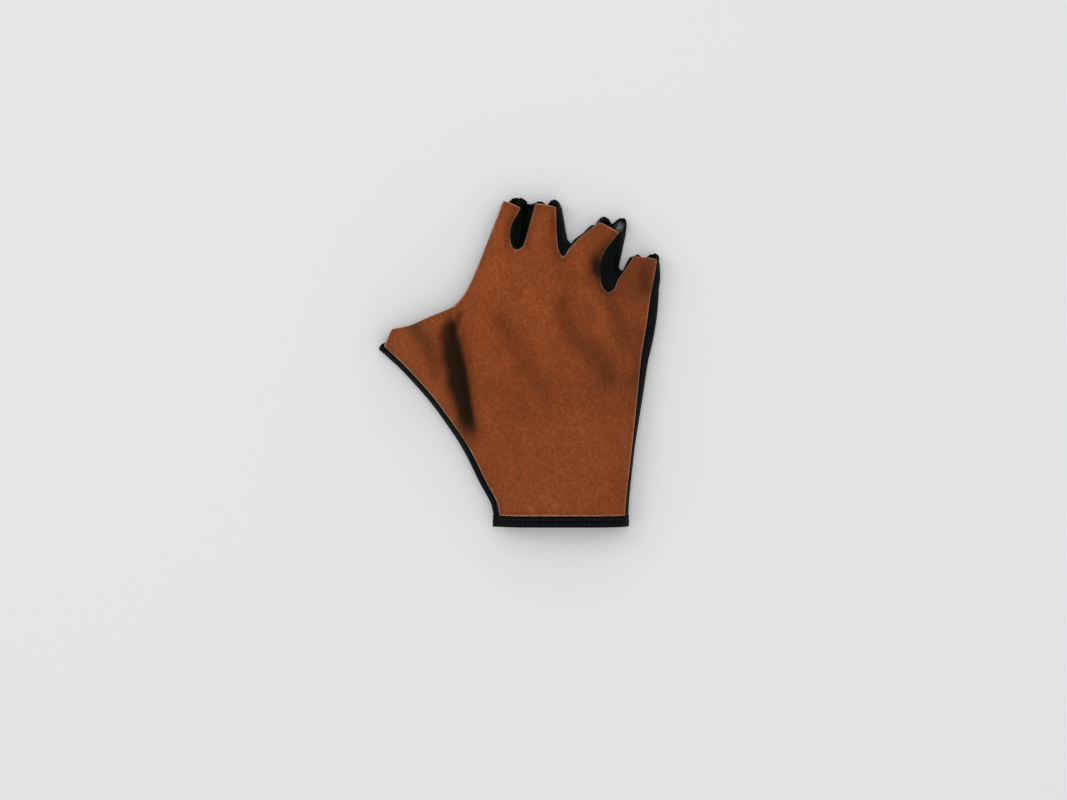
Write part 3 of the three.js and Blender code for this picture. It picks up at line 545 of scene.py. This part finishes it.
def black_cloth(name, colour, sheen, roughness, weave_size, bump_depth):
    """Black cloth with a fine weave, and a face that catches the light in patches."""
    material, tree, shader = surface_material(name, roughness)
    patches = grain(tree, 9 * mm, 3.0)
    yarn = grain(tree, weave_size, 1.0)
    ribs = []
    for turn in (0.7, -0.7):
        place = tree.nodes.new("ShaderNodeTexCoord")
        mapping = tree.nodes.new("ShaderNodeMapping")
        mapping.inputs["Rotation"].default_value = (0.35, 0.2, turn)
        wave = tree.nodes.new("ShaderNodeTexWave")
        wave.inputs["Scale"].default_value = 0.32 / weave_size
        wave.inputs["Distortion"].default_value = 0.6
        tree.links.new(place.outputs["Object"], mapping.inputs["Vector"])
        tree.links.new(mapping.outputs["Vector"], wave.inputs["Vector"])
        ribs.append(wave.outputs["Fac"])
    crossing = tree.nodes.new("ShaderNodeMath")
    crossing.operation = "MULTIPLY"
    tree.links.new(ribs[0], crossing.inputs[0])
    tree.links.new(ribs[1], crossing.inputs[1])
    dark = tuple(c * 0.55 for c in colour)
    pale = tuple(c * 1.9 for c in colour)
    face = colour_between(tree, spread(tree, patches, 0.3, 0.75), dark, colour)
    woven = colour_between(tree, crossing.outputs["Value"], face, pale)
    tree.links.new(woven, shader.inputs["Base Color"])
    shader.inputs["Sheen Weight"].default_value = sheen
    shader.inputs["Sheen Roughness"].default_value = 0.35
    shader.inputs["Sheen Tint"].default_value = (0.75, 0.85, 0.9, 1.0)
    shader.inputs["Specular IOR Level"].default_value = 0.05
    bumped(tree, shader, (crossing.outputs["Value"], 0.5, bump_depth), (yarn, 0.3, bump_depth))
    return material


up = Vector((0, 0, 1))
seam_reach = 1.8 * mm
seam_pull = (1.5 * mm, 5.5 * mm)
sewn_places = []
for place in evenly(inset_run(palm_edge, 0.4 * mm), 0.8 * mm):
    under_leather = palm_tree.ray_cast(Vector((place.x, place.y, -10 * mm)), up, 60 * mm)[0]
    if under_leather:
        sewn_places.append(under_leather)
seam_tree = KDTree(len(sewn_places))
for i, place in enumerate(sewn_places):
    seam_tree.insert(place, i)
seam_tree.balance()


def drawn_up(cloth):
    """Raises the edges of a fabric piece until they meet the leather that is sewn over them."""
    cloth_tree = KDTree(len(cloth.verts))
    for i, v in enumerate(cloth.verts):
        cloth_tree.insert((v.co.x, v.co.y, 0), i)
    cloth_tree.balance()
    cloth.verts.ensure_lookup_table()
    gaps = []
    for place in sewn_places:
        found = [cloth.verts[i].co.z for _, i, _ in cloth_tree.find_range((place.x, place.y, 0), seam_reach)]
        near = [z for z in found if place.z - 4 * mm < z < place.z + 0.3 * mm]
        gaps.append(max(place.z - max(near) - 0.03 * mm, 0.0) if near else 0.0)
    for _ in range(4):
        gaps = [(gaps[i - 1] + 2 * gaps[i] + gaps[(i + 1) % len(gaps)]) / 4 for i in range(len(gaps))]
    for v in cloth.verts:
        _, i, away = seam_tree.find(v.co)
        v.co.z += gaps[i] * (1 - ease(away, *seam_pull))
    return cloth


stretch_fabric = black_cloth("black stretch fabric", (0.0016, 0.0027, 0.0029), 0.008, 0.5, 0.55 * mm, 0.15 * mm)


finish_piece(drawn_up(refined(welded("back"), 2, 0.5)), "fabric_back", "stretch_fabric", "back", stretch_fabric)

# Between each two fingers a strip of the same fabric runs down one finger, round the crotch and up the next.
# It is slack, so it stands in soft pleats along the fingers, and the first two fingers' strips touch.
fabric_wall = 1.1 * mm
gap_kept = 0.04 * mm
# Each strip: the middle line of its gap, from and to, as shares of its box, and how far its two sides stand
# out into the gap, in mm, at the crotch and at the mouth: first the side down one finger, then up the next.
# Last, how far the middle of the crotch bags out
crotch_lines = {
    "index_middle": ((0.36, 0.10), (0.62, 1.0), (3.0, 3.0), (2.6, 2.6), 0.0),
    "middle_ring": ((0.30, 0.10), (0.42, 1.0), (-1.4, 0.2), (-1.2, 1.6), 0.0),
    "ring_little": ((0.20, 0.10), (0.62, 1.0), (1.1, 0.3), (0.3, 0.5), 0.0),
}
gap_middles = {}


def stood_out(v, line, bulge):
    """Moves a corner towards the middle line of a gap, and stops its sheet short of the line."""
    way = (line[1] - line[0]).normalized()
    left = beside(v.co.to_2d(), line)[1]
    across = Vector((way.y, -way.x, 0)) * math.copysign(1, left)
    behind = ease(-v.normal.dot(across), -0.5, 0.5)
    v.co += across * min(bulge, max(abs(left) - gap_kept - fabric_wall * behind, 0.0))


for pair, (start, end, *bulges, bag) in crotch_lines.items():
    node = "fourchette_" + pair
    low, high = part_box(node)
    size = high - low
    line = [Vector((low.x + x * size.x, low.y + y * size.y)) for x, y in (start, end)]
    gap_middles[pair] = line
    way = (line[1] - line[0]).normalized()
    strip = refined(welded(node), 3, 0.5)
    for v in strip.verts:
        standing = math.sin(math.pi * ease(v.co.z, low.z, high.z))
        along = v.co.to_2d().dot(way)
        share, left = beside(v.co.to_2d(), line)
        at_crotch, at_mouth = bulges[left < 0]
        bulge = at_crotch + (at_mouth - at_crotch) * ease(share, 0.25, 0.7)
        pleat = noise.noise(Vector((v.co.z / (1.6 * mm), along / (9 * mm), 3.0 + at_mouth)))
        stood_out(v, line, standing * (bulge + 0.28 * pleat) * mm)
        out = way * standing * bag * mm * (1 - ease(share, 0.22, 0.45))
        v.co += Vector((out.x, out.y, 0))
    finish_piece(drawn_up(strip), "finger_side_" + pair, "stretch_fabric", node, stretch_fabric)

# Each mouth ends in a rolled hem of the fabric, soft and round, that stands up in humps past the leather.
# At the ring finger the brushed grey inner face of the fabric is turned out.
hem_tape = black_cloth("black hem", (0.0015, 0.0024, 0.0026), 0.01, 0.6, 0.4 * mm, 0.12 * mm)
hem_tree = hem_tape.node_tree
hem_shader = hem_tree.nodes["Principled BSDF"]
hem_face = hem_shader.inputs["Base Color"].links[0].from_socket
fuzz_grain = spread(hem_tree, grain(hem_tree, 0.7 * mm, 3.0), 0.35, 0.7)
fuzz_colour = colour_between(hem_tree, fuzz_grain, (0.012, 0.015, 0.017), (0.15, 0.175, 0.185))
hem_tree.links.new(colour_between(hem_tree, painted(hem_tree, "fuzz"), hem_face, fuzz_colour), hem_shader.inputs["Base Color"])
lap = 1.2 * mm

# Each mouth: the way the finger leans, in degrees from the middle line towards the little finger, and how
# far past the plain hem its edge reaches, in mm, by share of the mouth's width from the thumb's side
mouths = {
    "index": (
        14.4,
        ((-1, -1.6), (-0.62, -1.4), (-0.36, 2.1), (0.06, 2.5), (0.6, 0.8), (1, -1.6)),
    ),
    "middle": (
        7.3,
        ((-1, -1.4), (-0.75, -1.9), (-0.46, 0.3), (-0.2, 0.1), (0.1, -2.6), (0.28, 0.8), (0.58, 0.7), (0.8, -0.6), (1, -2.4)),
    ),
    "ring": (
        26.9,
        ((-1, 2.3), (-0.72, 4.0), (-0.38, 3.3), (-0.02, -0.4), (0.12, 3.3), (0.28, 4.4), (0.5, 4.5), (0.72, 3.0), (1, -2.4)),
    ),
    "little": (
        23.7,
        ((-1, -2.6), (-0.82, -1.9), (-0.6, -0.2), (-0.4, -0.8), (-0.1, -4.0), (0.22, 0.3), (0.5, 0.4), (0.78, 0.0), (1, -1.6)),
    ),
    "thumb": (
        -61.6,
        ((-1, 0.0), (-0.6, 0.2), (-0.3, -0.6), (0, -1.2), (1, -1.2)),
    ),
}
roll = 0.35 * mm
hem_softness = 0.09
# How far each hem leans in at its two sides, and the two hems that lean out to touch
taper = 0.5 * mm
touching = {"index": 1, "middle": -1}
lean_out = 1.3 * mm
fuzz_rows = ((0.06, 0.0), (0.2, 1.0), (0.6, 1.0), (0.8, 0.0))
hem_slices = 8

for finger, (lean, outline) in mouths.items():
    node = finger + "_binding"
    hem = refined(welded(node), 3, 0.12)
    fuzz = hem.verts.layers.float.new("fuzz")
    axis = Vector((math.sin(math.radians(lean)), math.cos(math.radians(lean)), 0))
    across = Vector((axis.y, -axis.x, 0))
    sides = [v.co.dot(across) for v in hem.verts]
    ends = [v.co.dot(axis) for v in hem.verts]
    middle = (max(sides) + min(sides)) / 2
    half = (max(sides) - min(sides)) / 2
    top = max(v.co.z for v in hem.verts)
    slices = {}
    for side, end in zip(sides, ends):
        slices.setdefault(round((side - middle) / half * hem_slices), []).append(end)
    reaches = [(key / hem_slices, min(found), max(found)) for key, found in sorted(slices.items())]
    for _ in range(3):
        inner = [tuple((x + 2 * y + z) / 4 for x, y, z in zip(a, b, c)) for a, b, c in zip(reaches, reaches[1:], reaches[2:])]
        reaches = [reaches[0], *inner, reaches[-1]]
    for v, side, end in zip(hem.verts, sides, ends):
        share = (side - middle) / half
        low, high = from_rows(reaches, share, soft=False)
        part = min(max((end - low) / max(high - low, mm), 0.0), 1.0)
        near = [from_rows(outline, share + step * hem_softness, soft=False)[0] for step in (-1, -0.5, 0, 0.5, 1)]
        reach = sum(near) / len(near) * mm
        outer = ease(part, 0.1, 0.7)
        v.co += axis * (reach * part - lap * (1 - part)) + v.normal * roll * outer
        if share * touching.get(finger, 0) > 0:
            stood_out(v, gap_middles["index_middle"], lean_out * ease(abs(share), 0.5, 1.0))
        else:
            v.co -= across * share * taper * outer
        flat = 1 - ease(v.co.z, 0.25 * top, 0.6 * top)
        v.co.z += flat * part * max(reach + 1.0 * mm, 0.0) * 0.45
        v.co.z = max(v.co.z, 0.02 * mm)
        if finger == "ring":
            v[fuzz] = from_rows(fuzz_rows, share)[0] * (1 - ease(part, 0.5, 0.8))
    finish_piece(drawn_up(hem), finger + "_hem", "binding_tape", node, hem_tape)

# The cuff is a folded elastic band, 6 mm wide, sewn on with two rows of black stitches that pull
# shallow grooves into it, on the palm and on the back.
black_thread, black_thread_tree, black_thread_shader = surface_material("black thread", 0.6)
black_twist = grain(black_thread_tree, 0.25 * mm, 1.0)
black_thread_tree.links.new(
    colour_between(black_thread_tree, black_twist, (0.004, 0.005, 0.005), (0.016, 0.018, 0.019)),
    black_thread_shader.inputs["Base Color"],
)
bumped(black_thread_tree, black_thread_shader, (black_twist, 0.3, 0.1 * mm))
band_rows = (1.5 * mm, 4.4 * mm)
band_groove = 0.22 * mm
band_pitch = 2.6 * mm
band_rib = 1.1 * mm
band_lap = 0.5 * mm
band_rib_height = 0.05 * mm
band = refined(welded("cuff"), 3, 0.35)
band_low, band_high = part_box("cuff")
for v in band.verts:
    from_rim = v.co.y - band_low.y
    groove = sum(math.exp(-(((from_rim - row) / (0.6 * mm)) ** 2)) for row in band_rows)
    rib = 0.5 + 0.5 * math.sin(v.co.x / band_rib * 2 * math.pi)
    v.co -= v.normal * (band_groove * groove + band_rib_height * rib)
    v.co.y += band_lap * ease(from_rim, 4.6 * mm, 6.0 * mm)
band_piece = finish_piece(band, "wrist_band", "binding_tape", "cuff", hem_tape)
band_tree = surface_tree(band_piece)
for row, side in enumerate(band_rows):
    run = evenly(
        [
            Vector((band_low.x + 3 * mm, band_low.y + side, 10 * mm)),
            Vector((band_high.x - 3 * mm, band_low.y + side, 10 * mm)),
        ],
        band_pitch,
    )
    for face, drop in (("palm", -up), ("back", up)):
        stitches(
            run, band_tree, 40 * mm, f"wrist_band_stitches_{face}_{row + 1}", black_thread, "binding_tape",
            band_pitch, 1.8 * mm, 0.16 * mm, drop,
        )

# Under the wrist a strap closes the slit. It has a round end, a row of stitches along its edge, and a suede
# tab sewn on it in brown thread. Looped tape inside it holds it shut on a knitted gusset behind the slit.
edge_inset = 1.8 * mm
tab_groove = 0.3 * mm


def underside_run(shape, inset):
    """A run along the edge of a flat piece's underside, a distance inside it."""
    under = {face for face in shape.faces if face.normal.z < -0.9}
    return inset_run(evenly(longest_run(edges_between(under)), 0.6 * mm), inset)


strap_shape = welded("strap")
strap_run = evenly(underside_run(strap_shape, edge_inset), band_pitch)
strap_piece = finish_piece(refined(strap_shape, 2, 0.8), "wrist_strap", "binding_tape", "strap", hem_tape)
stitches(
    strap_run, surface_tree(strap_piece), 30 * mm, "wrist_strap_stitches", black_thread, "binding_tape",
    band_pitch, 1.8 * mm, 0.16 * mm, up,
)
tab_shape = welded("strap_tab")
tab_run = evenly(underside_run(tab_shape, edge_inset), stitch_pitch)
tab_rim = evenly(underside_run(tab_shape, 0.0), 0.6 * mm)
tab_edge = KDTree(len(tab_rim))
for i, p in enumerate(tab_rim):
    tab_edge.insert((p.x, p.y, 0), i)
tab_edge.balance()
tab = refined(tab_shape, 3, 0.8)
tab_tone = tab.verts.layers.float.new("tone_and_shade")
tab_raw = tab.verts.layers.float.new("raw")
for v in tab.verts:
    from_edge = tab_edge.find((v.co.x, v.co.y, 0))[2]
    v[tab_tone] = 0.12 + 0.16 * noise.noise(Vector((v.co.x * 130, v.co.y * 90, 6.0)))
    v[tab_raw] = 1 - ease(from_edge, 0.1 * mm, 0.5 * mm)
    if v.normal.z < 0:
        v.co.z += tab_groove * math.exp(-(((from_edge - edge_inset) / (0.7 * mm)) ** 2))
tab_piece = finish_piece(tab, "suede_tab", "suede", "strap_tab", suede)
stitches(
    tab_run, surface_tree(tab_piece), 30 * mm, "suede_tab_stitches", thread, "suede",
    stitch_pitch, stitch_length, thread_radius, up,
)
knit = black_cloth("black brushed knit", (0.0065, 0.0075, 0.0080), 0.1, 0.9, 0.9 * mm, 0.3 * mm)
knit_rib = 1.6 * mm
knit_rib_height = 0.12 * mm
gusset = refined(welded("wrist_gusset"), 3, 0.7)
for v in gusset.verts:
    v.co += v.normal * knit_rib_height * (math.sin(v.co.x / knit_rib * 2 * math.pi) - 1) / 2
finish_piece(gusset, "slit_gusset", "knit", "wrist_gusset", knit)
loops = refined(welded("loop_patch"), 3, 0.7)
for v in loops.verts:
    v.co -= v.normal * 0.15 * mm * (0.5 + 0.5 * noise.noise(v.co / (0.7 * mm)))
finish_piece(loops, "loop_tape", "knit", "loop_patch", knit)
